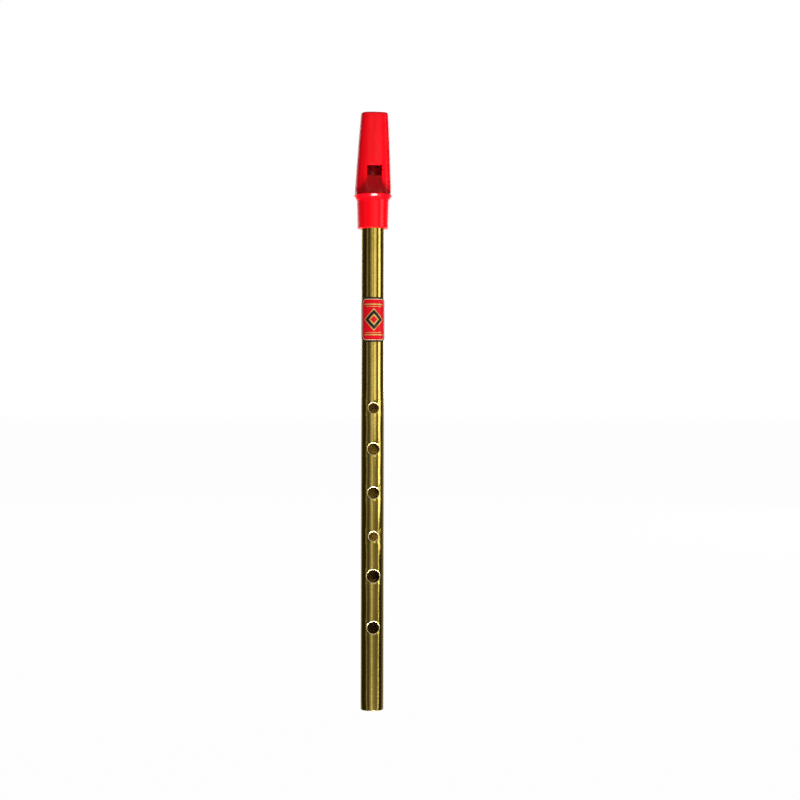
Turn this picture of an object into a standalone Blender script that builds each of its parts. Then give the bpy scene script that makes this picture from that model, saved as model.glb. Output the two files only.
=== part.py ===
"""A flageolet: a high-D whistle with a brass tube and a plastic mouthpiece.

Metres, +Z up along the tube. The origin is the centre of the foot, the open lower end.
The finger holes and the window face -Y. Four pieces: the tube, the mouthpiece that
slides on it for tuning, the plug that is the floor of the windway, and a printed label.

Below, a depth is a distance before the tube's axis, towards -Y, and a mouthpiece height
is measured from the socket's rim.
"""

import math

import bmesh
import bpy

MM = 0.001

# Tube
TUBE_LENGTH = 256.5 * MM
TUBE_DIAMETER = 11.7 * MM
TUBE_WALL = 0.4 * MM

# Finger holes from the mouthpiece down: height of the centre above the foot, and diameter
FINGER_HOLES = (
    (151.6 * MM, 5.2 * MM),
    (131.1 * MM, 5.8 * MM),
    (109.1 * MM, 5.7 * MM),
    (87.4 * MM, 4.6 * MM),
    (67.4 * MM, 6.4 * MM),
    (41.7 * MM, 6.0 * MM),
)

# Mouthpiece, outside
MOUTHPIECE_LENGTH = 58.2 * MM
RIM_DIAMETER = 15.5 * MM
RIM_ROUNDING = 0.3 * MM
NECK_DIAMETER = 16.2 * MM
NECK_HEIGHT = 13.2 * MM
COLLAR_DIAMETER = 19.1 * MM
COLLAR_HEIGHT = 16.4 * MM
COLLAR_LAND = 0.3 * MM
COLLAR_SHOULDER = 0.6 * MM
COLLAR_LEDGE = 0.15 * MM
BODY_DIAMETER = 18.5 * MM
BODY_BULGE = 0.12 * MM
FRONT_DEPTH_AT_COLLAR = 6.4 * MM
FRONT_DEPTH_AT_TIP = 5.0 * MM
FRONT_CROWN_RADIUS = 18.0 * MM
BEAK_WIDTH = 13.8 * MM
BEAK_THICKNESS = 7.5 * MM
BEAK_BACK_RADIUS = 78.0 * MM
BEAK_BACK_CROWN_RADIUS = 30.0 * MM
TIP_ROUNDING = 0.6 * MM

# Mouthpiece, inside
SOCKET_DEPTH = 15.0 * MM
SOCKET_LEAD_IN = 0.4 * MM
CHAMBER_FRONT_DEPTH = 4.05 * MM
LABIUM_HEIGHT = 26.3 * MM
LABIUM_THICKNESS = 0.4 * MM
RAMP_LENGTH = 8.2 * MM
RAMP_WIDTH_AT_FOOT = 8.6 * MM
WINDOW_LENGTH = 5.4 * MM
WINDOW_WIDTH = 7.4 * MM
ROOF_AT_WINDOW = 1.1 * MM
ROOF_AT_TIP = 1.3 * MM

# Windway and the plug under it
WINDWAY_HEIGHT_AT_WINDOW = 0.9 * MM
WINDWAY_HEIGHT_AT_TIP = 1.4 * MM
PLUG_BACK_DEPTH = 3.6 * MM
BEAK_BACK_WALL = 1.5 * MM
PLUG_RECESS = 0.3 * MM
PLUG_EXIT_CHAMFER = 0.4 * MM

# Label, a printed film that lies round the front of the tube
LABEL_BOTTOM = 184.6 * MM
LABEL_HEIGHT = 22.5 * MM
LABEL_WIDTH = 15.3 * MM
LABEL_CORNER = 2.4 * MM
LABEL_THICKNESS = 0.15 * MM

# Clearances
SOCKET_CLEARANCE = 0.1 * MM
TUBE_END_CLEARANCE = 0.3 * MM
PLUG_CLEARANCE = 0.05 * MM
LABEL_CLEARANCE = 0.05 * MM

# How far a cutter reaches past what it cuts
OVERRUN = 2.0 * MM

# Fineness of the faceted surfaces, and how crisply the mouthpiece's faces meet
ROUND_SIDES = 72
HOLE_SIDES = 40
BODY_STEPS = 12
CURVE_STEPS = 4
EDGE_SHARPNESS = 14.0

# Derived sizes
TUBE_RADIUS = TUBE_DIAMETER / 2
BORE_RADIUS = TUBE_RADIUS - TUBE_WALL
RIM_ABOVE_FOOT = TUBE_LENGTH + TUBE_END_CLEARANCE - SOCKET_DEPTH
SHOULDER_HEIGHT = COLLAR_HEIGHT + COLLAR_LAND + COLLAR_SHOULDER
WINDOW_TOP = LABIUM_HEIGHT + WINDOW_LENGTH
LABIUM_DEPTH = CHAMBER_FRONT_DEPTH + LABIUM_THICKNESS
BEAK_BACK_DEPTH = BEAK_THICKNESS - FRONT_DEPTH_AT_TIP


def blend(start, end, share):
    """The value that lies this share of the way from start to end."""
    return start + (end - start) * share


def body_share(height):
    """How far up the body a mouthpiece height lies: 0 at the collar's shoulder, 1 at the tip."""
    return (height - SHOULDER_HEIGHT) / (MOUTHPIECE_LENGTH - SHOULDER_HEIGHT)


def body_radius(height):
    """Radius of the body's round sides, which swell a little between collar and tip."""
    share = body_share(height)
    return blend(BODY_DIAMETER, BEAK_WIDTH, share) / 2 + 4 * BODY_BULGE * share * (1 - share)


def front_depth(height):
    """Depth of the middle of the crowned front face."""
    return blend(FRONT_DEPTH_AT_COLLAR, FRONT_DEPTH_AT_TIP, body_share(height))


def back_depth(height):
    """How far the beak's hollowed back lies behind the axis, on an arc that ends at the tip."""
    drop = min(MOUTHPIECE_LENGTH - height, BEAK_BACK_RADIUS)
    return BEAK_BACK_DEPTH + BEAK_BACK_RADIUS - math.sqrt(BEAK_BACK_RADIUS**2 - drop**2)


def crowned_reach(depth, crown_radius, angle):
    """Distance from the axis to a crowned face, at this angle from its middle."""
    offset = crown_radius - depth
    return math.sqrt(crown_radius**2 - (offset * math.sin(angle)) ** 2) - offset * math.cos(angle)


def beak_reach(height, angle, inset):
    """The outline above the collar: round sides that run softly into the front and the back."""
    reaches = (
        body_radius(height) - inset,
        crowned_reach(front_depth(height) - inset, FRONT_CROWN_RADIUS, angle),
        crowned_reach(back_depth(height) - inset, BEAK_BACK_CROWN_RADIUS, math.pi - angle),
    )
    return sum(reach**-EDGE_SHARPNESS for reach in reaches) ** (-1 / EDGE_SHARPNESS)


def plug_share(height):
    """How far up the windway a mouthpiece height lies: 0 at the window, 1 at the tip."""
    return (height - WINDOW_TOP) / (MOUTHPIECE_LENGTH - WINDOW_TOP)


def roof_depth(height):
    """Depth of the windway's roof."""
    at_window = front_depth(WINDOW_TOP) - ROOF_AT_WINDOW
    return blend(at_window, FRONT_DEPTH_AT_TIP - ROOF_AT_TIP, plug_share(height))


def floor_depth(height):
    """Depth of the windway's floor, the plug's front face."""
    windway = blend(WINDWAY_HEIGHT_AT_WINDOW, WINDWAY_HEIGHT_AT_TIP, plug_share(height))
    return roof_depth(height) - windway


def seat_depth(height):
    """Depth of the back of the plug's seat: it lies behind the axis, so it is negative."""
    return blend(-PLUG_BACK_DEPTH, BEAK_BACK_WALL - BEAK_BACK_DEPTH, plug_share(height))


def ramp_depth(height):
    """Depth of the ramp that rises from the labium down to the front face."""
    foot = LABIUM_HEIGHT - RAMP_LENGTH
    return blend(front_depth(foot), LABIUM_DEPTH, (height - foot) / RAMP_LENGTH)


def ramp_width(height):
    """Width of the ramp, which spreads from the labium down."""
    foot = LABIUM_HEIGHT - RAMP_LENGTH
    return blend(RAMP_WIDTH_AT_FOOT, WINDOW_WIDTH, (height - foot) / RAMP_LENGTH)


def add_object(name, builder, collection):
    """Makes an object of a finished bmesh, with its faces turned outwards."""
    bmesh.ops.recalc_face_normals(builder, faces=builder.faces)
    mesh = bpy.data.meshes.new(name)
    builder.to_mesh(mesh)
    builder.free()
    piece = bpy.data.objects.new(name, mesh)
    collection.objects.link(piece)
    return piece


def loft(name, rings, collection):
    """A closed solid through rings of as many points each, capped at both ends."""
    builder = bmesh.new()
    loops = [[builder.verts.new(point) for point in ring] for ring in rings]
    for lower, upper in zip(loops, loops[1:]):
        for i in range(len(lower)):
            builder.faces.new((lower[i - 1], lower[i], upper[i], upper[i - 1]))
    builder.faces.new(loops[0])
    builder.faces.new(loops[-1])
    return add_object(name, builder, collection)


def across(name, outline, width, collection):
    """An outline of (depth, height) points drawn out along X, to the width at each height."""
    rings = []
    for side in (-0.5, 0.5):
        rings.append([(side * width(height), -depth, height) for depth, height in outline])
    return loft(name, rings, collection)


def turned(name, profile, closed, collection):
    """A profile of (radius, height) points, down the outer side, turned round the axis."""
    builder = bmesh.new()
    points = [builder.verts.new((radius, 0.0, height)) for radius, height in profile]
    for point, following in zip(points, points[1:]):
        builder.edges.new((point, following))
    if closed:
        builder.edges.new((points[-1], points[0]))
    mesh = bpy.data.meshes.new(name)
    builder.to_mesh(mesh)
    builder.free()
    piece = bpy.data.objects.new(name, mesh)
    collection.objects.link(piece)
    screw = piece.modifiers.new("turn", "SCREW")
    screw.steps = screw.render_steps = ROUND_SIDES
    screw.use_merge_vertices = True
    screw.merge_threshold = 0.01 * MM
    screw.use_smooth_shade = True
    return piece


def cylinder(name, radius, length, sides, collection):
    """A closed cylinder along Z, centred on its origin."""
    builder = bmesh.new()
    bmesh.ops.create_cone(
        builder, cap_ends=True, segments=sides, radius1=radius, radius2=radius, depth=length
    )
    return add_object(name, builder, collection)


def cut(piece, cutter):
    """Takes the cutter's shape out of the piece."""
    modifier = piece.modifiers.new(cutter.name, "BOOLEAN")
    modifier.operation = "DIFFERENCE"
    modifier.solver = "EXACT"
    modifier.object = cutter
    cutter.hide_render = True
    cutter.display_type = "WIRE"


def finish(piece, colour, metallic, roughness):
    """Gives the piece its own material and smooth round faces."""
    material = bpy.data.materials.new(piece.name)
    material.use_nodes = True
    shader = material.node_tree.nodes["Principled BSDF"]
    shader.inputs["Base Color"].default_value = (*colour, 1.0)
    shader.inputs["Metallic"].default_value = metallic
    shader.inputs["Roughness"].default_value = roughness
    piece.data.materials.append(material)
    if piece.data.polygons:
        piece.data.shade_smooth()
        piece.data.set_sharp_from_angle(angle=math.radians(30))


def make_tube(parts, cutters):
    """The brass tube, with its finger holes drilled through the front wall."""
    profile = (
        (TUBE_RADIUS, TUBE_LENGTH),
        (TUBE_RADIUS, 0.0),
        (BORE_RADIUS, 0.0),
        (BORE_RADIUS, TUBE_LENGTH),
    )
    tube = turned("tube", profile, True, parts)
    for number, (height, diameter) in enumerate(FINGER_HOLES, start=1):
        length = TUBE_RADIUS + OVERRUN
        drill = cylinder(f"finger_hole_{number}", diameter / 2, length, HOLE_SIDES, cutters)
        drill.rotation_euler.x = math.pi / 2
        drill.location = (0.0, -length / 2, height)
        cut(tube, drill)
    finish(tube, (0.50, 0.38, 0.13), 1.0, 0.35)


def mouthpiece_rings():
    """The rings of the mouthpiece's outside, from the socket's rim up to the tip."""
    round_part = []
    for step in range(CURVE_STEPS + 1):
        turn = math.pi / 2 * step / CURVE_STEPS
        inset = RIM_ROUNDING * (1 - math.sin(turn))
        round_part.append((RIM_ROUNDING * (1 - math.cos(turn)), RIM_DIAMETER / 2 - inset))
    for step in range(CURVE_STEPS + 1):
        share = step / CURVE_STEPS
        radius = blend(NECK_DIAMETER, COLLAR_DIAMETER, share**2) / 2
        round_part.append((blend(NECK_HEIGHT, COLLAR_HEIGHT, share), radius))
    round_part.append((COLLAR_HEIGHT + COLLAR_LAND, COLLAR_DIAMETER / 2))
    round_part.append((SHOULDER_HEIGHT, BODY_DIAMETER / 2))

    beak_part = []
    rounding_start = MOUTHPIECE_LENGTH - TIP_ROUNDING
    for step in range(BODY_STEPS):
        height = blend(SHOULDER_HEIGHT + COLLAR_LEDGE, rounding_start, step / BODY_STEPS)
        beak_part.append((height, 0.0))
    for step in range(CURVE_STEPS + 1):
        turn = math.pi / 2 * step / CURVE_STEPS
        height = rounding_start + TIP_ROUNDING * math.sin(turn)
        beak_part.append((height, TIP_ROUNDING * (1 - math.cos(turn))))

    angles = [2 * math.pi * i / ROUND_SIDES for i in range(ROUND_SIDES)]
    rings = []
    for height, radius in round_part:
        rings.append([front_point(radius, angle, height) for angle in angles])
    for height, inset in beak_part:
        rings.append([front_point(beak_reach(height, angle, inset), angle, height) for angle in angles])
    return rings


def front_point(reach, angle, height):
    """The point at this distance from the axis, its angle measured from the front."""
    return (reach * math.sin(angle), -reach * math.cos(angle), height)


def make_mouthpiece(parts, cutters, slide):
    """The moulded mouthpiece: socket, collar, chamber, window, ramp, windway and beak."""
    mouthpiece = loft("mouthpiece", mouthpiece_rings(), parts)

    socket_radius = TUBE_RADIUS + SOCKET_CLEARANCE
    socket_profile = (
        (0.0, SOCKET_DEPTH),
        (socket_radius, SOCKET_DEPTH),
        (socket_radius, SOCKET_LEAD_IN),
        (socket_radius + SOCKET_LEAD_IN + OVERRUN, -OVERRUN),
        (0.0, -OVERRUN),
    )
    socket = turned("socket", socket_profile, False, cutters)

    chamber_start = SOCKET_DEPTH - OVERRUN
    chamber = cylinder("chamber", BORE_RADIUS, WINDOW_TOP - chamber_start, ROUND_SIDES, cutters)
    chamber.location.z = (chamber_start + WINDOW_TOP) / 2
    clear_of_chamber = BORE_RADIUS + OVERRUN
    chamber_flat = across(
        "chamber_flat",
        (
            (CHAMBER_FRONT_DEPTH, SOCKET_DEPTH),
            (clear_of_chamber, SOCKET_DEPTH),
            (clear_of_chamber, WINDOW_TOP + OVERRUN),
            (CHAMBER_FRONT_DEPTH, WINDOW_TOP + OVERRUN),
        ),
        lambda height: 2 * clear_of_chamber,
        cutters,
    )
    cut(chamber, chamber_flat)

    clear_of_front = COLLAR_DIAMETER / 2 + OVERRUN
    window = across(
        "window",
        (
            (CHAMBER_FRONT_DEPTH - OVERRUN, LABIUM_HEIGHT),
            (clear_of_front, LABIUM_HEIGHT),
            (clear_of_front, WINDOW_TOP),
            (CHAMBER_FRONT_DEPTH - OVERRUN, WINDOW_TOP),
        ),
        lambda height: WINDOW_WIDTH,
        cutters,
    )
    ramp_foot = LABIUM_HEIGHT - RAMP_LENGTH
    ramp_top = LABIUM_HEIGHT + WINDOW_LENGTH / 4
    ramp = across(
        "ramp",
        (
            (ramp_depth(ramp_foot), ramp_foot),
            (clear_of_front, ramp_foot),
            (clear_of_front, ramp_top),
            (ramp_depth(ramp_top), ramp_top),
        ),
        ramp_width,
        cutters,
    )
    seat_start = WINDOW_TOP - OVERRUN
    seat_end = MOUTHPIECE_LENGTH + OVERRUN
    windway = across(
        "windway_and_plug_seat",
        (
            (seat_depth(seat_start), seat_start),
            (roof_depth(seat_start), seat_start),
            (roof_depth(seat_end), seat_end),
            (seat_depth(seat_end), seat_end),
        ),
        lambda height: WINDOW_WIDTH,
        cutters,
    )
    for cutter in (socket, chamber, window, ramp, windway):
        cut(mouthpiece, cutter)
    for piece in (mouthpiece, socket, chamber, chamber_flat, window, ramp, windway):
        piece.parent = slide
    finish(mouthpiece, (0.80, 0.01, 0.02), 0.0, 0.25)


def make_plug(parts, slide):
    """The plug that fills the beak under the windway and is the windway's floor."""
    top = MOUTHPIECE_LENGTH - PLUG_RECESS
    plug = across(
        "fipple_plug",
        (
            (seat_depth(WINDOW_TOP) + PLUG_CLEARANCE, WINDOW_TOP),
            (floor_depth(WINDOW_TOP) - PLUG_EXIT_CHAMFER, WINDOW_TOP),
            (floor_depth(WINDOW_TOP + PLUG_EXIT_CHAMFER), WINDOW_TOP + PLUG_EXIT_CHAMFER),
            (floor_depth(top), top),
            (seat_depth(top) + PLUG_CLEARANCE, top),
        ),
        lambda height: WINDOW_WIDTH - 2 * PLUG_CLEARANCE,
        parts,
    )
    plug.parent = slide
    finish(plug, (0.72, 0.01, 0.02), 0.0, 0.3)


def label_columns():
    """The label's (angle, lower height, upper height), with a column on each facet edge it crosses."""
    facet = 2 * math.pi / ROUND_SIDES
    half_width = LABEL_WIDTH / 2
    corner_angle = (half_width - LABEL_CORNER) / TUBE_RADIUS
    end_angle = half_width / TUBE_RADIUS
    angles = {0.0, corner_angle, end_angle}
    angles.update(facet * i for i in range(1, math.ceil(end_angle / facet)))
    columns = []
    for angle in sorted(angles | {-angle for angle in angles}):
        corner_cut = max(0.0, abs(angle) * TUBE_RADIUS - half_width + LABEL_CORNER)
        columns.append((angle, corner_cut, LABEL_HEIGHT - corner_cut))
    return columns


def on_tube(angle, lift, height):
    """A point this far off the tube's faceted outside."""
    facet = 2 * math.pi / ROUND_SIDES
    along_facet = angle % facet - facet / 2
    reach = (TUBE_RADIUS + lift) * math.cos(facet / 2) / math.cos(along_facet)
    return front_point(reach, angle, height)


def make_label(parts):
    """The printed label, a thin film with cut corners wrapped round the front of the tube."""
    builder = bmesh.new()
    edges = []
    for angle, low, high in label_columns():
        bottom = builder.verts.new(on_tube(angle, LABEL_CLEARANCE, low))
        top = builder.verts.new(on_tube(angle, LABEL_CLEARANCE, high))
        edges.append((bottom, top))
    for (bottom, top), (next_bottom, next_top) in zip(edges, edges[1:]):
        builder.faces.new((bottom, next_bottom, next_top, top))
    mesh = bpy.data.meshes.new("label")
    builder.to_mesh(mesh)
    builder.free()
    label = bpy.data.objects.new("label", mesh)
    parts.objects.link(label)
    label.location.z = LABEL_BOTTOM
    film = label.modifiers.new("film", "SOLIDIFY")
    film.thickness = LABEL_THICKNESS
    film.offset = 1.0
    film.use_even_offset = True
    finish(label, (0.70, 0.01, 0.03), 0.0, 0.3)


def main():
    """Clears the scene and makes the four pieces."""
    for item in list(bpy.data.objects):
        bpy.data.objects.remove(item, do_unlink=True)
    parts = bpy.data.collections.new("flageolet")
    cutters = bpy.data.collections.new("cutters")
    for collection in (parts, cutters):
        bpy.context.scene.collection.children.link(collection)
    slide = bpy.data.objects.new("tuning_slide", None)
    slide.location.z = RIM_ABOVE_FOOT
    parts.objects.link(slide)
    make_tube(parts, cutters)
    make_mouthpiece(parts, cutters, slide)
    make_plug(parts, slide)
    make_label(parts)
    bpy.context.view_layer.update()


main()
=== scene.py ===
"""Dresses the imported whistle: a drawn brass tube, a moulded red mouthpiece and a printed label.

Metres, +Z up along the tube, the finger holes and the window towards -Y. In the mouthpiece,
heights are measured from the socket's rim, and a depth is a distance before the axis.
"""

from __future__ import annotations

import logging
import math
from dataclasses import dataclass
from enum import Enum
from typing import Callable, Sequence

import bmesh
import bpy
from mathutils import Matrix, Vector

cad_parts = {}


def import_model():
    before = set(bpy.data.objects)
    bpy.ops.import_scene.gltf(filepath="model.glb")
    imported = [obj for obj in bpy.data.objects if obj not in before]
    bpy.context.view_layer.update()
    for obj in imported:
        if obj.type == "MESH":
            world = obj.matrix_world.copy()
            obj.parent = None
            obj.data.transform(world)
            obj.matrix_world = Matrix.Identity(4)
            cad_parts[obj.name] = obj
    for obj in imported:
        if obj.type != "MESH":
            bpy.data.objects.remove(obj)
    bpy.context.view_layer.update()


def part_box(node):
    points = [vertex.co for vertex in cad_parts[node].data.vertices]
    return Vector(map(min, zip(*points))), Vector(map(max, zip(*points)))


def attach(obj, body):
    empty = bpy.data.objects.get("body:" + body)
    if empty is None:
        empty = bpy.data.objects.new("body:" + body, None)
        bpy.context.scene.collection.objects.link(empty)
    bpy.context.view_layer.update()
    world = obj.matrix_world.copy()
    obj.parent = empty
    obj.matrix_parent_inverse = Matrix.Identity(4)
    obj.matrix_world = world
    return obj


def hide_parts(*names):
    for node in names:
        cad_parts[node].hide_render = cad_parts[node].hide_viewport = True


MM = 0.001
IMAGE_SIZE = 800

log = logging.getLogger("whistle")

Point = tuple[float, float, float]
Pair = tuple[float, float]
Tones = tuple[Point, Point]
Verts = list[bmesh.types.BMVert]
Builder = bmesh.types.BMesh
Socket = bpy.types.NodeSocket

BLACK: Point = (0.0, 0.0, 0.0)
WHITE: Point = (1.0, 1.0, 1.0)


class Body(Enum):
    """The two bodies that the tuning slide joins."""

    TUBE = "tube"
    MOUTHPIECE = "mouthpiece"


class Slot(Enum):
    """The record's material slots."""

    BRASS = "tube_brass"
    PLASTIC = "red_plastic"
    PRINT = "label_print"


class TubeFace(Enum):
    """What a face of the tube belongs to, and its material's number."""

    DRAWN = 0
    BORE = 1
    CUT = 2


class Ink(Enum):
    """The label's inks, and their materials' numbers."""

    BLACK = 0
    GOLD = 1
    RED = 2
    CREAM = 3


def blend(start: float, end: float, share: float) -> float:
    """Returns the value this share of the way from start to end."""
    return start + (end - start) * share


def front_point(reach: float, angle: float, height: float) -> Point:
    """Returns the point this far from the axis, its angle measured from the front."""
    return (reach * math.sin(angle), -reach * math.cos(angle), height)


def full_turn(count: int) -> list[float]:
    """Returns this many evenly spaced angles round the axis."""
    return [2 * math.pi * i / count for i in range(count)]


def add_object(name: str, data: bpy.types.ID) -> bpy.types.Object:
    """Adds an object to the scene.

    Args:
        name: Its name.
        data: Its mesh, lamp or lens.

    Returns:
        The new object.
    """
    added = bpy.data.objects.new(name, data)
    bpy.context.scene.collection.objects.link(added)
    return added


def bridge(builder: Builder, rings: Sequence[Verts]) -> None:
    """Joins rings of as many points each with faces.

    Args:
        builder: The mesh so far.
        rings: The rings in order, each a closed loop of its points.
    """
    for first, second in zip(rings, rings[1:]):
        for i in range(len(first)):
            builder.faces.new((first[i - 1], first[i], second[i], second[i - 1]))


def make_object(name: str, builder: Builder, sharp_degrees: float = 35.0) -> bpy.types.Object:
    """Makes an object of a finished bmesh, smooth except over its sharp edges.

    Args:
        name: The piece's name.
        builder: The mesh so far, which is freed here.
        sharp_degrees: Edges that turn further than this stay sharp.

    Returns:
        The new object.
    """
    bmesh.ops.recalc_face_normals(builder, faces=builder.faces)
    mesh = bpy.data.meshes.new(name)
    builder.to_mesh(mesh)
    builder.free()
    mesh.shade_smooth()
    mesh.set_sharp_from_angle(angle=math.radians(sharp_degrees))
    return add_object(name, mesh)


def loft(name: str, rings: Sequence[Sequence[Point]]) -> bpy.types.Object:
    """Makes a closed solid through rings of as many points each.

    Args:
        name: The solid's name.
        rings: The rings in order, each a closed loop of points.

    Returns:
        The solid, capped at both ends.
    """
    builder = bmesh.new()
    loops = [[builder.verts.new(point) for point in ring] for ring in rings]
    bridge(builder, loops)
    builder.faces.new(loops[0])
    builder.faces.new(loops[-1])
    return make_object(name, builder)


def across(name: str, outline: Sequence[Pair], width: Callable[[float], float]) -> bpy.types.Object:
    """Makes a solid of an outline of (depth, height) corners, as wide along X as width says."""
    rings = [[(side * width(h), -d, h) for d, h in outline] for side in (-0.5, 0.5)]
    return loft(name, rings)


def round_rings(profile: Sequence[Pair], sides: int) -> list[list[Point]]:
    """Returns rings round the axis for a profile of (radius, height) points."""
    turns = full_turn(sides)
    return [[front_point(radius, turn, height) for turn in turns] for radius, height in profile]


def carve(piece: bpy.types.Object, cutters: Sequence[bpy.types.Object]) -> None:
    """Cuts the cutters' shapes out of a piece and throws the cutters away.

    Args:
        piece: The solid that is cut.
        cutters: The shapes that come out of it.
    """
    for cutter in cutters:
        step = piece.modifiers.new(cutter.name, "BOOLEAN")
        step.operation = "DIFFERENCE"
        step.solver = "EXACT"
        step.object = cutter
    shown = piece.evaluated_get(bpy.context.evaluated_depsgraph_get())
    carved = bpy.data.meshes.new_from_object(shown)
    piece.modifiers.clear()
    piece.data = carved
    for cutter in cutters:
        bpy.data.objects.remove(cutter, do_unlink=True)


def place(piece: bpy.types.Object, body: Body, node: str) -> None:
    """Puts a piece on its body in the stead of a node, which it hides.

    Args:
        piece: The dressed piece.
        body: The body that it rides on.
        node: The node that it stands for.
    """
    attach(piece, body.value)
    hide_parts(node)


@dataclass(frozen=True)
class Mottle:
    """An uneven pattern that a surface's colour, gloss or height follows.

    Attributes:
        per_metre: How many features there are to a metre.
        stretch: The scale along each axis, below 1 where features are drawn out.
        detail: How many finer layers lie over the coarse one.
    """

    per_metre: float
    stretch: Point = (1.0, 1.0, 1.0)
    detail: float = 3.0


class Shading:
    """One material's nodes, with the joins between them."""

    # The colour sockets of a mix node, by number because their names repeat
    MIX_SHARE = 0
    MIX_FIRST = 6
    MIX_SECOND = 7
    MIX_RESULT = 2

    def __init__(self, name: str) -> None:
        """Starts a material with its Principled shader and the object's own coordinates.

        Args:
            name: The material's name.
        """
        self.material = bpy.data.materials.new(name)
        self.material.use_nodes = True
        self.tree = self.material.node_tree
        self.shader = self.tree.nodes["Principled BSDF"]
        self.coords = self.add("ShaderNodeTexCoord").outputs["Object"]

    def add(self, kind: str, **settings: object) -> bpy.types.Node:
        """Adds a node.

        Args:
            kind: The node's type.
            **settings: Its own settings, by name.

        Returns:
            The node.
        """
        node = self.tree.nodes.new(kind)
        for key, value in settings.items():
            setattr(node, key, value)
        return node

    def join(self, source: Socket, target: Socket) -> None:
        """Joins an output to an input."""
        self.tree.links.new(source, target)

    def set_shader(self, **values: float) -> None:
        """Sets the shader's own sockets, named with _ for a space."""
        for key, value in values.items():
            self.shader.inputs[key.replace("_", " ")].default_value = value

    def noise(self, mottle: Mottle) -> Socket:
        """Adds a mottle.

        Args:
            mottle: Its size and stretch.

        Returns:
            Its value, from 0 to 1.
        """
        mapping = self.add("ShaderNodeMapping")
        mapping.inputs["Scale"].default_value = mottle.stretch
        self.join(self.coords, mapping.inputs["Vector"])
        noise = self.add("ShaderNodeTexNoise")
        noise.inputs["Scale"].default_value = mottle.per_metre
        noise.inputs["Detail"].default_value = mottle.detail
        self.join(mapping.outputs["Vector"], noise.inputs["Vector"])
        return noise.outputs["Fac"]

    def ramp(self, value: Socket, places: Pair, colours: Tones) -> Socket:
        """Adds a ramp between two colours.

        Args:
            value: What it is read at.
            places: Where the first colour ends and where the second starts.
            colours: The two colours.

        Returns:
            The ramp's colour.
        """
        node = self.add("ShaderNodeValToRGB")
        for stop, position, colour in zip(node.color_ramp.elements, places, colours):
            stop.position = position
            stop.color = (*colour, 1.0)
        self.join(value, node.inputs["Fac"])
        return node.outputs["Color"]

    def mix(self, share: Socket, first: Socket, second: Socket) -> Socket:
        """Mixes two colours.

        Args:
            share: How much of the second there is.
            first: The first colour.
            second: The second colour.

        Returns:
            The mixed colour.
        """
        node = self.add("ShaderNodeMix", data_type="RGBA")
        self.join(share, node.inputs[self.MIX_SHARE])
        self.join(first, node.inputs[self.MIX_FIRST])
        self.join(second, node.inputs[self.MIX_SECOND])
        return node.outputs[self.MIX_RESULT]

    def colour(self, source: Socket) -> None:
        """Gives the surface its colour."""
        self.join(source, self.shader.inputs["Base Color"])

    def roughness(self, value: Socket, span: Pair) -> None:
        """Drives the roughness from a value.

        Args:
            value: The value, from 0 to 1.
            span: The roughness at 0 and at 1.
        """
        node = self.add("ShaderNodeMapRange")
        node.inputs["To Min"].default_value, node.inputs["To Max"].default_value = span
        self.join(value, node.inputs["Value"])
        self.join(node.outputs["Result"], self.shader.inputs["Roughness"])

    def bump(self, heights: Sequence[tuple[Socket, float]]) -> None:
        """Lays bumps one over the other.

        Args:
            heights: Each bump's value and how high it stands, in metres.
        """
        below = None
        for value, distance in heights:
            node = self.add("ShaderNodeBump")
            node.inputs["Distance"].default_value = distance
            self.join(value, node.inputs["Height"])
            if below is not None:
                self.join(below, node.inputs["Normal"])
            below = node.outputs["Normal"]
        self.join(below, self.shader.inputs["Normal"])

    def surface(self, output: Socket) -> None:
        """Makes this shader the material's surface."""
        self.join(output, self.tree.nodes["Material Output"].inputs["Surface"])


@dataclass(frozen=True)
class DrawnBrass:
    """Lacquered brass drawn through a die: fine lengthwise grain, dull olive patches, speckles."""

    bright: Point = (0.62, 0.45, 0.09)
    dull: Point = (0.50, 0.37, 0.06)
    brown: Point = (0.26, 0.16, 0.02)
    patches: Mottle = Mottle(90.0, (1.0, 1.0, 0.35), 5.0)
    speckle: Mottle = Mottle(3200.0, (1.0, 1.0, 0.7), 2.0)
    grain: Mottle = Mottle(5200.0, (1.0, 1.0, 0.02), 2.0)
    patch_edge: Pair = (0.38, 0.62)
    speckle_edge: Pair = (0.44, 0.64)
    gloss: Pair = (0.10, 0.15)
    grain_height: float = 0.006 * MM
    speckle_height: float = 0.010 * MM
    lacquer: float = 0.4
    lacquer_roughness: float = 0.05

    def material(self) -> bpy.types.Material:
        """Mixes bright, dull and speckled brass under a thin lacquer.

        Returns:
            The brass.
        """
        shading = Shading("drawn_brass")
        patches = shading.noise(self.patches)
        plain = shading.ramp(patches, self.patch_edge, (self.dull, self.bright))
        speckle = shading.noise(self.speckle)
        stain = shading.ramp(speckle, self.speckle_edge, (BLACK, WHITE))
        brown = shading.ramp(patches, (0.0, 1.0), (self.brown, self.dull))
        shading.colour(shading.mix(stain, plain, brown))
        grain = shading.noise(self.grain)
        shading.roughness(patches, self.gloss)
        shading.bump(((grain, self.grain_height), (speckle, self.speckle_height)))
        shading.set_shader(
            Metallic=1.0, Coat_Weight=self.lacquer, Coat_Roughness=self.lacquer_roughness
        )
        return shading.material


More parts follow.
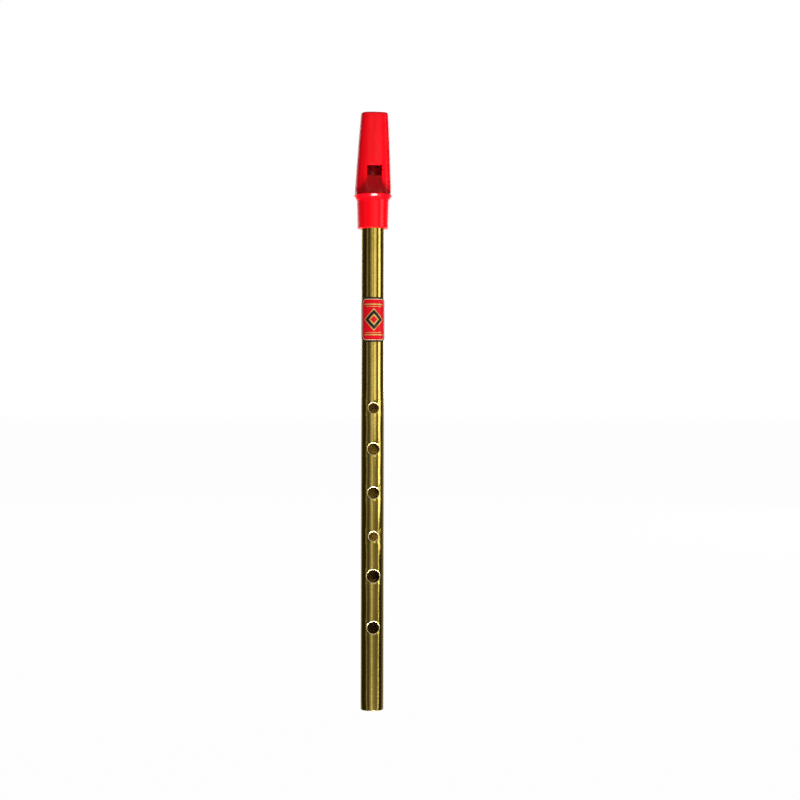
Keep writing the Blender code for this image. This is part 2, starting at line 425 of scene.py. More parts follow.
@dataclass(frozen=True)
class TwoTone:
    """A finish that runs unevenly between two tones of one colour.

    Attributes:
        name: The material's name.
        tones: The two tones.
        tone_edge: Where the first tone ends and where the second starts.
        mottle: The pattern that the tones follow, and the gloss too if it has no marks of its own.
        gloss: The roughness where its pattern is 0 and where it is 1.
        pits: The finest unevenness.
        pit_height: How high the pits stand.
        metallic: How metallic the surface is.
        specular: How strongly a surface that isn't metal mirrors.
        gloss_marks: The marks that the gloss follows, if it has its own.
        mottle_height: How high the mottle itself stands.
    """

    name: str
    tones: Tones
    tone_edge: Pair
    mottle: Mottle
    gloss: Pair
    pits: Mottle
    pit_height: float
    metallic: float = 0.0
    specular: float = 0.5
    gloss_marks: Mottle | None = None
    mottle_height: float = 0.0

    def material(self) -> bpy.types.Material:
        """Lays the tones, the gloss and the pits.

        Returns:
            The finish.
        """
        shading = Shading(self.name)
        mottle = shading.noise(self.mottle)
        shading.colour(shading.ramp(mottle, self.tone_edge, self.tones))
        pits = shading.noise(self.pits)
        marks = shading.noise(self.gloss_marks) if self.gloss_marks else mottle
        shading.roughness(marks, self.gloss)
        bumps = [(pits, self.pit_height)]
        if self.mottle_height:
            bumps.insert(0, (mottle, self.mottle_height))
        shading.bump(bumps)
        shading.set_shader(Metallic=self.metallic, Specular_IOR_Level=self.specular)
        return shading.material


@dataclass(frozen=True)
class CutEdgeAndHighlight(TwoTone):
    """Bare brass at punched holes and cut ends, worn by fingers; its pale cream is partly a painted
    highlight.
    """

    name: str = "cut_edge_and_highlight"
    tones: Tones = ((0.66, 0.50, 0.20), (0.82, 0.70, 0.40))
    tone_edge: Pair = (0.40, 0.62)
    mottle: Mottle = Mottle(700.0, detail=4.0)
    gloss: Pair = (0.34, 0.50)
    pits: Mottle = Mottle(3000.0)
    pit_height: float = 0.004 * MM
    metallic: float = 0.85


@dataclass(frozen=True)
class DullBore(TwoTone):
    """The tube's inside: unpolished brass, browned by breath, with darker blotches."""

    name: str = "dull_bore"
    tones: Tones = ((0.14, 0.06, 0.01), (0.34, 0.22, 0.02))
    tone_edge: Pair = (0.35, 0.65)
    mottle: Mottle = Mottle(300.0, detail=5.0)
    gloss: Pair = (0.5, 0.7)
    pits: Mottle = Mottle(2400.0)
    pit_height: float = 0.01 * MM
    metallic: float = 0.4
    specular: float = 0.2


@dataclass(frozen=True)
class MouldedPlastic(TwoTone):
    """Glossy red plastic with faint flow marks, dust-fine pits and long scratches."""

    tones: Tones = ((0.82, 0.001, 0.006), (0.92, 0.001, 0.008))
    tone_edge: Pair = (0.30, 0.70)
    mottle: Mottle = Mottle(120.0, (1.0, 1.0, 0.5), 4.0)
    gloss: Pair = (0.14, 0.26)
    pits: Mottle = Mottle(3800.0, detail=2.0)
    pit_height: float = 0.004 * MM
    specular: float = 0.2
    gloss_marks: Mottle = Mottle(1500.0, (1.0, 1.0, 0.05), 1.0)
    mottle_height: float = 0.05 * MM


@dataclass(frozen=True)
class PrintedInk(TwoTone):
    """One ink of the label: slightly uneven, going to its second tone where it was rubbed."""

    tone_edge: Pair = (0.58, 0.80)
    mottle: Mottle = Mottle(900.0, (1.0, 1.0, 0.4), 5.0)
    gloss: Pair = (0.24, 0.42)
    pits: Mottle = Mottle(6000.0, detail=1.0)
    pit_height: float = 0.004 * MM
    specular: float = 0.15


@dataclass(frozen=True)
class FingerHole:
    """A finger hole: the height of its centre above the foot, and its diameter."""

    height: float
    diameter: float


@dataclass
class Shell:
    """One side of the tube's wall.

    Attributes:
        points: Its points, by column and row.
        loops: The square loop of points round each hole.
    """

    points: dict[tuple[int, int], bmesh.types.BMVert]
    loops: list[Verts]


@dataclass
class HoledTube:
    """The brass tube: a thin wall with six punched holes, each with a rolled lip."""

    length: float = 256.5 * MM
    radius: float = 5.85 * MM
    wall: float = 0.4 * MM
    holes: tuple[FingerHole, ...] = (
        FingerHole(41.7 * MM, 6.0 * MM),
        FingerHole(67.4 * MM, 6.4 * MM),
        FingerHole(87.4 * MM, 4.6 * MM),
        FingerHole(109.1 * MM, 5.7 * MM),
        FingerHole(131.1 * MM, 5.8 * MM),
        FingerHole(151.6 * MM, 5.2 * MM),
    )
    columns: int = 120
    row_spacing: float = 6.0 * MM
    # Columns and rows from a hole's centre to the edge of the square that its lip lies in
    patch_half: int = 14
    # The lip from the plain wall to the hole: distance from its edge, and how deep it has sunk
    outer_lip: tuple[Pair, ...] = (
        (0.34 * MM, 0.0),
        (0.27 * MM, 0.015 * MM),
        (0.20 * MM, 0.05 * MM),
        (0.13 * MM, 0.10 * MM),
        (0.06 * MM, 0.17 * MM),
        (0.02 * MM, 0.24 * MM),
        (0.0, 0.32 * MM),
    )
    inner_lip: tuple[Pair, ...] = (
        (0.0, 0.52 * MM),
        (0.05 * MM, 0.56 * MM),
        (0.16 * MM, 0.55 * MM),
        (0.34 * MM, 0.46 * MM),
        (0.50 * MM, 0.40 * MM),
    )
    # The rounding at both ends: distance from the end, and depth under the outside
    end_edge: tuple[Pair, ...] = (
        (0.10 * MM, 0.0),
        (0.03 * MM, 0.03 * MM),
        (0.0, 0.10 * MM),
        (0.0, 0.32 * MM),
        (0.05 * MM, 0.40 * MM),
    )
    sharp_degrees: float = 50.0
    # Share of the wall, from outside, past which a face is the bore's
    bore_share: float = 0.8

    def row_heights(self) -> tuple[list[float], list[int]]:
        """Lays out the rows of the wall.

        Returns:
            The rows' heights, and the lowest row of each hole's square.
        """
        step = 2 * math.pi * self.radius / self.columns
        end = self.end_edge[0][0]
        heights = [end]
        lowest = []
        for hole in self.holes:
            self._fill(heights, hole.height - self.patch_half * step)
            lowest.append(len(heights) - 1)
            rows = range(1 - self.patch_half, self.patch_half + 1)
            heights.extend(hole.height + k * step for k in rows)
        self._fill(heights, self.length - end)
        return heights, lowest

    def _fill(self, heights: list[float], end: float) -> None:
        """Adds evenly spaced rows.

        Args:
            heights: The rows' heights so far.
            end: The height of the last row that is added.
        """
        start = heights[-1]
        count = max(1, round((end - start) / self.row_spacing))
        heights.extend(blend(start, end, k / count) for k in range(1, count + 1))

    def build(self) -> bpy.types.Object:
        """Builds the wall, its holes and its ends.

        Returns:
            The tube.
        """
        builder = bmesh.new()
        heights, lowest = self.row_heights()
        outer = self._shell(builder, heights, lowest, 0.0)
        inner = self._shell(builder, heights, lowest, self.wall)
        for hole, outer_loop, inner_loop in zip(self.holes, outer.loops, inner.loops):
            lip = [
                self._hole_ring(builder, outer_loop, hole, offset, depth)
                for offset, depth in self.outer_lip + self.inner_lip
            ]
            bridge(builder, [outer_loop, *lip, inner_loop])
        for row, at_foot in ((0, True), (len(heights) - 1, False)):
            rings = [[outer.points[(column, row)] for column in range(self.columns)]]
            for distance, depth in self.end_edge[1:]:
                height = distance if at_foot else self.length - distance
                ring = round_rings([(self.radius - depth, height)], self.columns)[0]
                rings.append([builder.verts.new(point) for point in ring])
            rings.append([inner.points[(column, row)] for column in range(self.columns)])
            bridge(builder, rings)
        return make_object("brass_tube", builder, self.sharp_degrees)

    def _shell(self, builder: Builder, heights: list[float], lowest: list[int], depth: float) -> Shell:
        """Builds one side of the wall, open at the holes.

        Args:
            builder: The mesh so far.
            heights: The rows' heights.
            lowest: The lowest row of each hole's square.
            depth: How far this side lies under the outside.

        Returns:
            The side.
        """
        points: dict[tuple[int, int], bmesh.types.BMVert] = {}
        half = self.patch_half
        size = 2 * half
        turns = full_turn(self.columns)

        def point(column: int, row: int) -> bmesh.types.BMVert:
            """Finds a point of the side, and makes it when it is first asked for.

            Args:
                column: Its column, which may run past a full turn.
                row: Its row.

            Returns:
                The point.
            """
            key = (column % self.columns, row)
            if key not in points:
                spot = front_point(self.radius - depth, turns[key[0]], heights[row])
                points[key] = builder.verts.new(spot)
            return points[key]

        for row in range(len(heights) - 1):
            holed = any(low <= row < low + size for low in lowest)
            first = half if holed else -half
            for column in range(first, self.columns - half):
                corners = ((0, 0), (1, 0), (1, 1), (0, 1))
                builder.faces.new([point(column + aside, row + up) for aside, up in corners])
        loops = []
        for low in lowest:
            keys = [(column, low) for column in range(-half, half)]
            keys += [(half, low + k) for k in range(size)]
            keys += [(column, low + size) for column in range(half, -half, -1)]
            keys += [(-half, low + k) for k in range(size, 0, -1)]
            loops.append([point(*key) for key in keys])
        return Shell(points, loops)

    def _hole_ring(
        self, builder: Builder, square: Verts, hole: FingerHole, offset: float, depth: float
    ) -> Verts:
        """Makes a ring round a hole, with a point on the line to each point of its square.

        Args:
            builder: The mesh so far.
            square: The square loop round the hole.
            hole: The hole.
            offset: How far outside the hole's edge the ring lies.
            depth: How far it lies under the tube's outside.

        Returns:
            The ring's points.
        """
        ring = []
        radius = hole.diameter / 2 + offset
        for corner in square:
            turn = math.atan2(corner.co.z - hole.height, corner.co.x)
            x = radius * math.cos(turn)
            y = -math.sqrt((self.radius - depth) ** 2 - x**2)
            ring.append(builder.verts.new((x, y, hole.height + radius * math.sin(turn))))
        return ring

    def dress(self) -> list[bpy.types.Object]:
        """Builds the tube, gives it its brass and puts it on its body.

        Returns:
            The tube.
        """
        tube = self.build()
        for finish in (DrawnBrass(), DullBore(), CutEdgeAndHighlight()):
            tube.data.materials.append(finish.material())
        bore = self.radius - self.wall * self.bore_share
        first_sunk = self.outer_lip[1][1]
        outside = self.radius - first_sunk / 2
        # The lips and rounded ends take the pale cut-edge brass, whose cream is partly a painted
        # highlight
        for face in tube.data.polygons:
            reaches = [math.hypot(*tube.data.vertices[i].co.xy) for i in face.vertices]
            if max(reaches) < bore:
                face.material_index = TubeFace.BORE.value
            elif min(reaches) < outside:
                face.material_index = TubeFace.CUT.value
            else:
                face.material_index = TubeFace.DRAWN.value
        place(tube, Body.TUBE, "tube")
        return [tube]


@dataclass
class Mouthpiece:
    """The moulded mouthpiece and the plug under its windway."""

    rim_above_foot: float
    length: float = 58.2 * MM
    rim_diameter: float = 15.5 * MM
    rim_rounding: float = 0.3 * MM
    neck_diameter: float = 16.2 * MM
    neck_height: float = 13.2 * MM
    collar_diameter: float = 19.1 * MM
    collar_height: float = 16.4 * MM
    collar_land: float = 0.3 * MM
    collar_shoulder: float = 0.6 * MM
    collar_ledge: float = 0.15 * MM
    body_diameter: float = 18.5 * MM
    body_bulge: float = 0.12 * MM
    front_at_collar: float = 6.4 * MM
    front_at_tip: float = 5.0 * MM
    front_crown: float = 18.0 * MM
    beak_width: float = 13.8 * MM
    beak_thickness: float = 7.5 * MM
    back_radius: float = 78.0 * MM
    back_crown: float = 30.0 * MM
    tip_rounding: float = 0.6 * MM
    socket_depth: float = 15.0 * MM
    socket_radius: float = 5.95 * MM
    socket_lead_in: float = 0.4 * MM
    chamber_radius: float = 5.45 * MM
    chamber_front: float = 4.05 * MM
    labium_height: float = 26.3 * MM
    labium_thickness: float = 0.4 * MM
    ramp_length: float = 8.2 * MM
    ramp_foot_width: float = 8.6 * MM
    window_length: float = 5.4 * MM
    window_width: float = 7.4 * MM
    roof_at_window: float = 1.1 * MM
    roof_at_tip: float = 1.3 * MM
    windway_at_window: float = 0.9 * MM
    windway_at_tip: float = 1.4 * MM
    plug_back: float = 3.6 * MM
    back_wall: float = 1.5 * MM
    plug_recess: float = 0.3 * MM
    plug_chamfer: float = 0.4 * MM
    clearance: float = 0.05 * MM
    # How far a cutter reaches past what it cuts
    overrun: float = 2.0 * MM
    lean: float = math.radians(1.08)
    sides: int = 144
    body_steps: int = 30
    curve_steps: int = 8
    # How crisply the beak's sides meet its front and its back
    sharpness: float = 14.0
    soft_edge: float = 0.12 * MM
    soft_edge_segments: int = 3
    soft_edge_degrees: float = 40.0
    sharp_degrees: float = 50.0

    @property
    def shoulder(self) -> float:
        """Height of the collar's shoulder, where the beak's body starts."""
        return self.collar_height + self.collar_land + self.collar_shoulder

    @property
    def window_top(self) -> float:
        """Height of the window's upper edge."""
        return self.labium_height + self.window_length

    @property
    def ramp_foot(self) -> float:
        """Height of the ramp's lower end."""
        return self.labium_height - self.ramp_length

    def body_share(self, height: float) -> float:
        """Returns how far up the body a height lies, 0 at the shoulder and 1 at the tip."""
        return (height - self.shoulder) / (self.length - self.shoulder)

    def side_reach(self, height: float) -> float:
        """Works out the body's round sides, which swell a little half way up.

        Args:
            height: The height above the rim.

        Returns:
            Their radius.
        """
        share = self.body_share(height)
        straight = blend(self.body_diameter, self.beak_width, share) / 2
        return straight + 4 * self.body_bulge * share * (1 - share)

    def front_depth(self, height: float) -> float:
        """Returns the depth of the middle of the front face."""
        return blend(self.front_at_collar, self.front_at_tip, self.body_share(height))

    def back_reach(self, height: float) -> float:
        """Returns how far the beak's hollowed back lies behind the axis."""
        hollow = self.back_radius - math.sqrt(self.back_radius**2 - (self.length - height) ** 2)
        return self.beak_thickness - self.front_at_tip + hollow

    def reach(self, height: float, angle: float, inset: float) -> float:
        """Works out the outline above the collar.

        Args:
            height: The height above the rim.
            angle: The angle from the front.
            inset: How far inside the full outline the point lies.

        Returns:
            The distance from the axis.
        """
        faces = (
            self.side_reach(height) - inset,
            self._crowned(self.front_depth(height) - inset, self.front_crown, angle),
            self._crowned(self.back_reach(height) - inset, self.back_crown, math.pi - angle),
        )
        return sum(face**-self.sharpness for face in faces) ** (-1 / self.sharpness)

    def _crowned(self, depth: float, crown: float, angle: float) -> float:
        """Returns the distance from the axis to a crowned face."""
        offset = crown - depth
        return math.sqrt(crown**2 - (offset * math.sin(angle)) ** 2) - offset * math.cos(angle)

    def windway_share(self, height: float) -> float:
        """Returns how far up the windway a height lies, 0 at the window and 1 at the tip."""
        return (height - self.window_top) / (self.length - self.window_top)

    def windway_roof(self, height: float) -> float:
        """Returns the depth of the windway's roof."""
        at_window = self.front_depth(self.window_top) - self.roof_at_window
        return blend(at_window, self.front_at_tip - self.roof_at_tip, self.windway_share(height))

    def windway_floor(self, height: float) -> float:
        """Returns the depth of the windway's floor, the front of the plug."""
        gap = blend(self.windway_at_window, self.windway_at_tip, self.windway_share(height))
        return self.windway_roof(height) - gap

    def seat(self, height: float) -> float:
        """Returns the depth of the back of the plug's seat, below 0 as it lies behind the axis."""
        at_tip = self.back_wall - self.beak_thickness + self.front_at_tip
        return blend(-self.plug_back, at_tip, self.windway_share(height))

    def ramp_share(self, height: float) -> float:
        """Returns how far up the ramp a height lies, 0 at its foot and 1 at the labium."""
        return (height - self.ramp_foot) / self.ramp_length

    def ramp(self, height: float) -> float:
        """Returns the depth of the ramp that rises from the labium to the front face."""
        labium = self.chamber_front + self.labium_thickness
        return blend(self.front_depth(self.ramp_foot), labium, self.ramp_share(height))

    def ramp_width(self, height: float) -> float:
        """Returns the width of the ramp at a height."""
        return blend(self.ramp_foot_width, self.window_width, self.ramp_share(height))

    def rounding(self, size: float) -> list[Pair]:
        """Returns how far a quarter round's points lie along its first side and its second."""
        turns = [math.pi / 2 * step / self.curve_steps for step in range(self.curve_steps + 1)]
        return [(size * math.sin(turn), size * (1 - math.cos(turn))) for turn in turns]

    def outside(self) -> bpy.types.Object:
        """Lofts the outside from the socket's rim to the tip.

        Returns:
            The solid before anything is cut out of it.
        """
        profile = []
        for outward, up in self.rounding(self.rim_rounding):
            profile.append((self.rim_diameter / 2 - self.rim_rounding + outward, up))
        for step in range(self.curve_steps + 1):
            share = step / self.curve_steps
            radius = blend(self.neck_diameter, self.collar_diameter, share**2) / 2
            profile.append((radius, blend(self.neck_height, self.collar_height, share)))
        profile.append((self.collar_diameter / 2, self.collar_height + self.collar_land))
        profile.append((self.body_diameter / 2, self.shoulder))
        rings = round_rings(profile, self.sides)

        start = self.shoulder + self.collar_ledge
        end = self.length - self.tip_rounding
        beak = [(blend(start, end, step / self.body_steps), 0.0) for step in range(self.body_steps)]
        beak += [(end + up, inset) for up, inset in self.rounding(self.tip_rounding)]
        turns = full_turn(self.sides)
        for height, inset in beak:
            rings.append([front_point(self.reach(height, turn, inset), turn, height) for turn in turns])
        return loft("mouthpiece_moulding", rings)

    def socket_and_chamber(self) -> list[bpy.types.Object]:
        """Makes the round hollows.

        Returns:
            The socket with its flared mouth, and the chamber with its flat front.
        """
        socket_profile = (
            (self.socket_radius + self.socket_lead_in + self.overrun, -self.overrun),
            (self.socket_radius, self.socket_lead_in),
            (self.socket_radius, self.socket_depth),
        )
        socket = loft("socket", round_rings(socket_profile, self.sides))
        chamber_ends = (self.socket_depth - self.overrun, self.window_top)
        chamber_profile = [(self.chamber_radius, height) for height in chamber_ends]
        chamber = loft("chamber", round_rings(chamber_profile, self.sides))
        clear = self.chamber_radius + self.overrun
        flat = (
            (self.chamber_front, self.socket_depth),
            (clear, self.socket_depth),
            (clear, self.window_top + self.overrun),
            (self.chamber_front, self.window_top + self.overrun),
        )
        carve(chamber, [across("chamber_front", flat, lambda height: 2 * clear)])
        return [socket, chamber]

    def air_path(self) -> list[bpy.types.Object]:
        """Makes the hollows that the air goes through.

        Returns:
            The window, the ramp, and the windway with the plug's seat.
        """
        clear = self.collar_diameter / 2 + self.overrun
        deep = self.chamber_front - self.overrun
        window = (
            (deep, self.labium_height),
            (clear, self.labium_height),
            (clear, self.window_top),
            (deep, self.window_top),
        )
        foot = self.ramp_foot
        top = self.labium_height + self.window_length / 4
        ramp = ((self.ramp(foot), foot), (clear, foot), (clear, top), (self.ramp(top), top))
        low = self.window_top - self.overrun
        high = self.length + self.overrun
        windway = (
            (self.seat(low), low),
            (self.windway_roof(low), low),
            (self.windway_roof(high), high),
            (self.seat(high), high),
        )
        return [
            across("window", window, lambda height: self.window_width),
            across("ramp", ramp, self.ramp_width),
            across("windway", windway, lambda height: self.window_width),
        ]

    def plug(self) -> bpy.types.Object:
        """Builds the plug.

        Returns:
            The wedge that fills the beak under the windway.
        """
        top = self.length - self.plug_recess
        lip = self.window_top + self.plug_chamfer
        outline = (
            (self.seat(self.window_top) + self.clearance, self.window_top),
            (self.windway_floor(self.window_top) - self.plug_chamfer, self.window_top),
            (self.windway_floor(lip), lip),
            (self.windway_floor(top), top),
            (self.seat(top) + self.clearance, top),
        )
        return across("windway_plug", outline, lambda height: self.window_width - 2 * self.clearance)

    def seat_on_tube(self, piece: bpy.types.Object) -> None:
        """Lifts a piece to its height on the tube and gives the beak its slight lean to the right.

        Args:
            piece: The piece, built above the rim.
        """
        for point in piece.data.vertices:
            point.co.x += math.tan(self.lean) * max(0.0, point.co.z - self.shoulder)
            point.co.z += self.rim_above_foot

    def soften(self, piece: bpy.types.Object) -> None:
        """Rounds a moulded piece's edges a little and keeps its faces smooth.

        Args:
            piece: The moulded piece.
        """
        soft = piece.modifiers.new("soft_edges", "BEVEL")
        soft.width = self.soft_edge
        soft.segments = self.soft_edge_segments
        soft.limit_method = "ANGLE"
        soft.angle_limit = math.radians(self.soft_edge_degrees)
        soft.use_clamp_overlap = True
        piece.data.shade_smooth()
        piece.data.set_sharp_from_angle(angle=math.radians(self.sharp_degrees))

    def dress(self) -> list[bpy.types.Object]:
        """Builds both pieces, gives them their plastic and puts them on their body.

        Returns:
            The moulding and the plug.
        """
        moulding = self.outside()
        carve(moulding, self.socket_and_chamber() + self.air_path())
        pieces = [moulding, self.plug()]
        for piece, node in zip(pieces, ("mouthpiece", "fipple_plug")):
            self.seat_on_tube(piece)
            self.soften(piece)
            piece.data.materials.clear()
            piece.data.materials.append(MouldedPlastic(f"{node}_red").material())
            place(piece, Body.MOUTHPIECE, node)
        return pieces


@dataclass(frozen=True)
class PrintedShape:
    """A shape printed on the label.

    Attributes:
        half_width: Half its width, measured round the tube.
        half_height: Half its height, at a place across it.
        ink: What it is printed in.
        offset: How far its middle lies above the label's.
    """

    half_width: float
    half_height: Callable[[float], float]
    ink: Ink
    offset: float = 0.0


@dataclass
class Label:
    """The printed film round the tube's front: a cut-corner panel with lines, bars and lozenges."""

    tube_radius: float
    bottom: float = 184.6 * MM
    height: float = 22.5 * MM
    width: float = 15.3 * MM
    corner: float = 2.4 * MM
    # The gap under the film, the film's thickness, an ink's, and how far each ink stands proud
    lift: float = 0.05 * MM
    film: float = 0.12 * MM
    layer: float = 0.008 * MM
    layer_rise: float = 0.004 * MM
    # About how wide a shape's columns are
    column_width: float = 0.22 * MM
    # Half the height of a lozenge's blunted side points
    point_height: float = 0.02 * MM
    # How far inside the label's edge each panel lies
    panels: tuple[tuple[float, Ink], ...] = (
        (0.0, Ink.BLACK),
        (0.95 * MM, Ink.CREAM),
        (1.20 * MM, Ink.RED),
    )
    # Half width, half height, and how far above and below the middle there is one
    bars: tuple[tuple[float, float, float], ...] = (
        (5.0 * MM, 0.30 * MM, 7.6 * MM),
        (4.0 * MM, 0.14 * MM, 6.5 * MM),
    )
    # Half width and half height
    lozenges: tuple[tuple[float, float, Ink], ...] = (
        (4.9 * MM, 5.6 * MM, Ink.GOLD),
        (4.4 * MM, 5.0 * MM, Ink.BLACK),
        (2.5 * MM, 2.9 * MM, Ink.GOLD),
        (1.7 * MM, 2.0 * MM, Ink.RED),
    )
    # In the order of their numbers
    inks: tuple[PrintedInk, ...] = (
        PrintedInk("black_ink", ((0.012, 0.010, 0.010), (0.06, 0.05, 0.03))),
        PrintedInk("gold_ink", ((0.62, 0.44, 0.12), (0.42, 0.31, 0.11)), metallic=0.6),
        PrintedInk("red_ink", ((0.60, 0.002, 0.010), (0.34, 0.02, 0.01))),
        PrintedInk("cream_ink", ((0.74, 0.60, 0.34), (0.42, 0.31, 0.11))),
    )

    def panel(self, inset: float, ink: Ink) -> PrintedShape:
        """Lays out the cut-corner panel, or one like it further in.

        Args:
            inset: How far inside the label's edge it lies.
            ink: What it is printed in.

        Returns:
            The panel.
        """
        half_width = self.width / 2 - inset
        corner = self.corner - inset * (2 - math.sqrt(2))

        def half_height(aside: float) -> float:
            """Returns half the panel's height this far aside of its middle."""
            return self.height / 2 - inset - max(0.0, abs(aside) - half_width + corner)

        return PrintedShape(half_width, half_height, ink)

    def lozenge(self, half_width: float, tallest: float, ink: Ink) -> PrintedShape:
        """Lays out a lozenge in the label's middle.

        Args:
            half_width: Half its width.
            tallest: Half its height.
            ink: What it is printed in.

        Returns:
            The lozenge.
        """

        def half_height(aside: float) -> float:
            """Returns half the lozenge's height this far aside of its middle."""
            return tallest * (1 - abs(aside) / half_width) + self.point_height

        return PrintedShape(half_width, half_height, ink)

    def bar(self, half_width: float, half_height: float, offset: float) -> PrintedShape:
        """Returns a gold bar this far above the label's middle."""
        return PrintedShape(half_width, lambda aside: half_height, Ink.GOLD, offset)

    def shapes(self) -> list[PrintedShape]:
        """Lays out the print.

        Returns:
            The shapes, from the film itself to the topmost ink.
        """
        shapes = [self.panel(inset, ink) for inset, ink in self.panels]
        for half_width, half_height, offset in self.bars:
            shapes += [self.bar(half_width, half_height, side * offset) for side in (1, -1)]
        return shapes + [self.lozenge(*lozenge) for lozenge in self.lozenges]

    def wrap(self, builder: Builder, shape: PrintedShape, base: float, top: float) -> None:
        """Wraps one shape round the tube, as a thin closed solid.

        Args:
            builder: The mesh so far.
            shape: The shape.
            base: Its underside's distance from the tube.
            top: Its outside's distance from the tube.
        """
        middle = self.bottom + self.height / 2 + shape.offset
        count = 2 * max(3, math.ceil(shape.half_width / self.column_width))
        columns = []
        for i in range(count + 1):
            aside = blend(-shape.half_width, shape.half_width, i / count)
            tall = shape.half_height(aside)
            turn = aside / self.tube_radius
            corners = ((base, -tall), (top, -tall), (top, tall), (base, tall))
            points = [front_point(self.tube_radius + lift, turn, middle + up) for lift, up in corners]
            columns.append([builder.verts.new(point) for point in points])
        before = len(builder.faces)
        bridge(builder, columns)
        builder.faces.new(columns[0])
        builder.faces.new(columns[-1])
        builder.faces.ensure_lookup_table()
        for face in builder.faces[before:]:
            face.material_index = shape.ink.value

    def dress(self) -> list[bpy.types.Object]:
        """Builds the label's layers, gives them their inks and puts the label on the tube.

        Returns:
            The label.
        """
        builder = bmesh.new()
        for number, shape in enumerate(self.shapes()):
            top = self.lift + self.film + number * self.layer_rise
            base = self.lift if number == 0 else top - self.layer
            self.wrap(builder, shape, base, top)
        label = make_object("printed_label", builder)
        for ink in self.inks:
            label.data.materials.append(ink.material())
        place(label, Body.TUBE, "label")
        return [label]


@dataclass(frozen=True)
class Lamp:
    """A soft lamp: where it is, its width and height, its watts, and what it points at."""

    name: str
    position: Point
    size: Pair
    power: float
    aim: Point = (0.0, 0.0, 0.16)

    def hang(self) -> None:
        """Hangs the lamp, out of the camera's sight."""
        light = bpy.data.lights.new(self.name, "AREA")
        light.shape = "RECTANGLE"
        light.size, light.size_y = self.size
        light.energy = self.power
        lamp = add_object(self.name, light)
        lamp.visible_camera = False
        lamp.location = self.position
        beam = Vector(self.aim) - Vector(self.position)
        lamp.rotation_euler = beam.to_track_quat("-Z", "Y").to_euler()


@dataclass(frozen=True)
class Card:
    """An upright card that only the gloss sees: a dark flag or a pale reflector.

    Attributes:
        start: Its left edge, in degrees from the camera.
        end: Its right edge, in degrees from the camera.
        level: How bright it is.
        distance: How far it stands from the object.
        half_height: Half its height.
        facets: How many flat strips it is made of.
    """

    start: float
    end: float
    level: float
    distance: float = 1.3
    half_height: float = 3.0
    facets: int = 4

    def hang(self, number: int, azimuth: float) -> None:
        """Hangs the card.

        Args:
            number: Its number, from the left.
            azimuth: The camera's turn from the front.
        """
        builder = bmesh.new()
        columns = []
        for i in range(self.facets + 1):
            turn = math.radians(blend(self.start, self.end, i / self.facets)) - azimuth
            ends = [front_point(self.distance, turn, side * self.half_height) for side in (-1, 1)]
            columns.append([builder.verts.new(point) for point in ends])
        for (low, high), (next_low, next_high) in zip(columns, columns[1:]):
            builder.faces.new((low, next_low, next_high, high))
        card = make_object(f"studio_card_{number}", builder)
        card.visible_camera = card.visible_diffuse = card.visible_shadow = False
        card.visible_transmission = False
        shading = Shading(f"card_{number}")
        glow = shading.add("ShaderNodeEmission")
        glow.inputs["Strength"].default_value = self.level
        shading.surface(glow.outputs["Emission"])
        card.data.materials.append(shading.material)


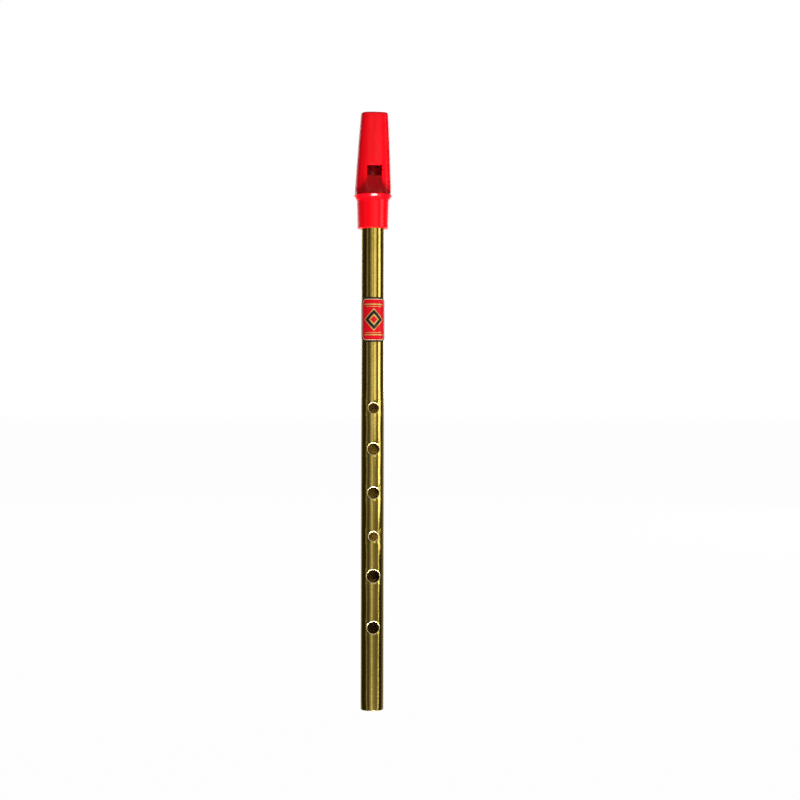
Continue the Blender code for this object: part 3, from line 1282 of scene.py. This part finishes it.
@dataclass(frozen=True)
class Studio:
    """The camera, the pale floor, the lamps and the cards that the metal mirrors."""

    distance: float = 715.0 * MM
    # The photograph's focal length, in pixels of its frame
    focal_pixels: float = 1418.8
    eye_height: float = 155.6 * MM
    right_of_object: float = 13.8 * MM
    azimuth: float = math.radians(6.5)
    roll: float = math.radians(0.12)
    sensor: float = 36.0
    nearest_seen: float = 10.0 * MM
    world_level: float = 0.16
    # The floor's share of plain white, its reach, and how far it lies below the foot
    floor_whiteness: float = 0.98
    floor_half_size: float = 12.0
    floor_drop: float = 0.2 * MM
    floor_roughness: float = 0.9
    paper: Mottle = Mottle(40.0)
    paper_edge: Pair = (0.3, 0.7)
    paper_tones: Tones = ((0.90, 0.90, 0.90), (0.93, 0.93, 0.93))
    cards: tuple[Card, ...] = (
        Card(-142.0, -122.0, 0.22),
        Card(-122.0, -62.0, 0.03),
        Card(-62.0, -50.0, 0.36),
        Card(-50.0, -24.0, 0.10),
        Card(-24.0, -10.0, 0.40),
        Card(-10.0, 5.0, 1.0),
        Card(5.0, 24.0, 0.38),
        Card(24.0, 62.0, 0.24),
        Card(62.0, 67.5, 2.6),
        Card(67.5, 108.0, 0.03),
        Card(108.0, 142.0, 0.20),
    )
    lamps: tuple[Lamp, ...] = (
        Lamp("key", (0.06, -0.38, -0.62), (0.42, 0.12), 21.0, aim=(0.0, 0.0, 0.26)),
        Lamp("front", (0.35, -1.15, 0.35), (0.5, 0.5), 1.0),
        Lamp("right", (0.95, -0.45, 0.20), (0.4, 0.4), 1.2),
        Lamp("left_behind", (-0.9, 1.0, 0.5), (0.7, 0.7), 6.0),
        Lamp("right_behind", (0.9, 1.0, 0.5), (0.7, 0.7), 6.0),
    )

    def set_camera(self) -> None:
        """Sets the camera where the photograph was taken from."""
        lens = bpy.data.cameras.new("camera")
        lens.sensor_width = self.sensor
        lens.lens = self.focal_pixels / IMAGE_SIZE * self.sensor
        lens.clip_start = self.nearest_seen
        camera = add_object("camera", lens)
        ahead = Vector((math.sin(self.azimuth), math.cos(self.azimuth), 0.0))
        right = Vector((math.cos(self.azimuth), -math.sin(self.azimuth), 0.0))
        eye = right * self.right_of_object - ahead * self.distance
        eye.z = self.eye_height
        turn = Matrix.Rotation(-self.azimuth, 4, "Z") @ Matrix.Rotation(math.pi / 2, 4, "X")
        camera.matrix_world = Matrix.Translation(eye) @ turn @ Matrix.Rotation(self.roll, 4, "Z")
        bpy.context.scene.camera = camera

    def white_rays(self, tree: bpy.types.NodeTree) -> Socket:
        """Picks out the rays that should meet plain white.

        Args:
            tree: The nodes of the floor or of the world.

        Returns:
            1 for rays of the camera, of a gloss and through glass, and 0 for the others.
        """
        rays = tree.nodes.new("ShaderNodeLightPath")
        total = rays.outputs["Is Camera Ray"]
        for name in ("Is Glossy Ray", "Is Transmission Ray"):
            either = tree.nodes.new("ShaderNodeMath")
            either.operation = "MAXIMUM"
            tree.links.new(total, either.inputs[0])
            tree.links.new(rays.outputs[name], either.inputs[1])
            total = either.outputs["Value"]
        return total

    def light_world(self) -> None:
        """Lights the scene evenly, with plain white behind the object."""
        world = bpy.data.worlds.new("studio")
        bpy.context.scene.world = world
        world.use_nodes = True
        tree = world.node_tree
        sky = tree.nodes["Background"]
        sky.inputs["Color"].default_value = (*WHITE, 1.0)
        strength = tree.nodes.new("ShaderNodeMapRange")
        strength.inputs["To Min"].default_value = self.world_level
        strength.inputs["To Max"].default_value = 1.0
        tree.links.new(self.white_rays(tree), strength.inputs["Value"])
        tree.links.new(strength.outputs["Result"], sky.inputs["Strength"])

    def lay_floor(self) -> None:
        """Lays the pale floor, which reads as white and keeps a trace of the object's shadow."""
        builder = bmesh.new()
        bmesh.ops.create_grid(builder, x_segments=1, y_segments=1, size=self.floor_half_size)
        floor = make_object("floor", builder)
        floor.location.z = -self.floor_drop
        floor.visible_shadow = floor.visible_glossy = False
        shading = Shading("pale_floor")
        shading.set_shader(Roughness=self.floor_roughness)
        shading.colour(shading.ramp(shading.noise(self.paper), self.paper_edge, self.paper_tones))
        white = shading.add("ShaderNodeEmission")
        share = shading.add("ShaderNodeMath", operation="MULTIPLY")
        share.inputs[1].default_value = self.floor_whiteness
        shading.join(self.white_rays(shading.tree), share.inputs[0])
        mixer = shading.add("ShaderNodeMixShader")
        share_in, paper_in, white_in = mixer.inputs
        shading.join(share.outputs["Value"], share_in)
        shading.join(shading.shader.outputs["BSDF"], paper_in)
        shading.join(white.outputs["Emission"], white_in)
        shading.surface(mixer.outputs["Shader"])
        floor.data.materials.append(shading.material)

    def hang(self) -> None:
        """Hangs the cards, left to right, and the lamps."""
        for number, card in enumerate(self.cards, start=1):
            card.hang(number, self.azimuth)
        for lamp in self.lamps:
            lamp.hang()


def main() -> None:
    """Builds the camera, the object and the studio, and reports each piece."""
    logging.basicConfig(level=logging.INFO, format="%(name)s: %(message)s")
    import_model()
    studio = Studio()
    studio.set_camera()
    tube = HoledTube()
    mouthpiece = Mouthpiece(rim_above_foot=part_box("mouthpiece")[0].z)
    for assembly in (tube, mouthpiece, Label(tube_radius=tube.radius)):
        for piece in assembly.dress():
            log.info("%s: %d faces", piece.name, len(piece.data.polygons))
    studio.light_world()
    studio.lay_floor()
    studio.hang()
    bpy.context.scene.view_settings.view_transform = "Standard"


if __name__ == "__main__":
    main()
